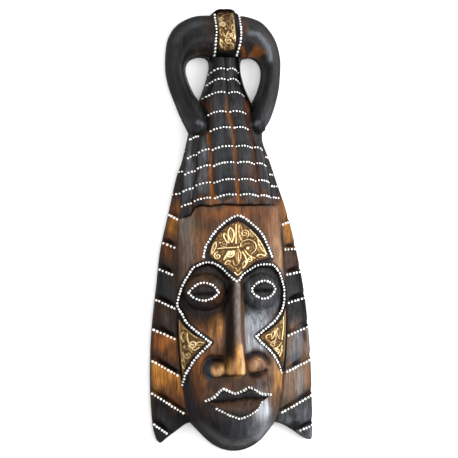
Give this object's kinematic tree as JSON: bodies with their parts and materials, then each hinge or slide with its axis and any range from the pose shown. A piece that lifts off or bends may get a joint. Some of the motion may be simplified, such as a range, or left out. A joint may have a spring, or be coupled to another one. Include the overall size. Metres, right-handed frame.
{
  "type": "african tribal mask",
  "caption": "Long carved wooden wall mask: a narrow face under a roped headdress and a ring of horns, dotted with paint and set with embossed brass sheet.",
  "frame": {"origin": "on the flat back, at the middle of the length and of the width", "axes": "+X to the right of the face as a viewer sees it, +Y from the chin towards the crest, +Z out of the face, away from the back it lies on"},
  "size_m": [0.1846, 0.5001, 0.0597],
  "materials": {
    "carved_wood": "charred and stained open-grained wood under a semi-gloss wax, near black with warm brown fields, dotted with white paint",
    "embossed_brass": "thin sheet embossed with scrolls and petals, antiqued dark in its recesses"
  },
  "bodies": {
    "root": {"mask_body": "carved_wood", "crest_band": "embossed_brass", "forehead_plate": "embossed_brass", "left_cheek_plate": "embossed_brass", "right_cheek_plate": "embossed_brass"}
  },
  "joints": []
}
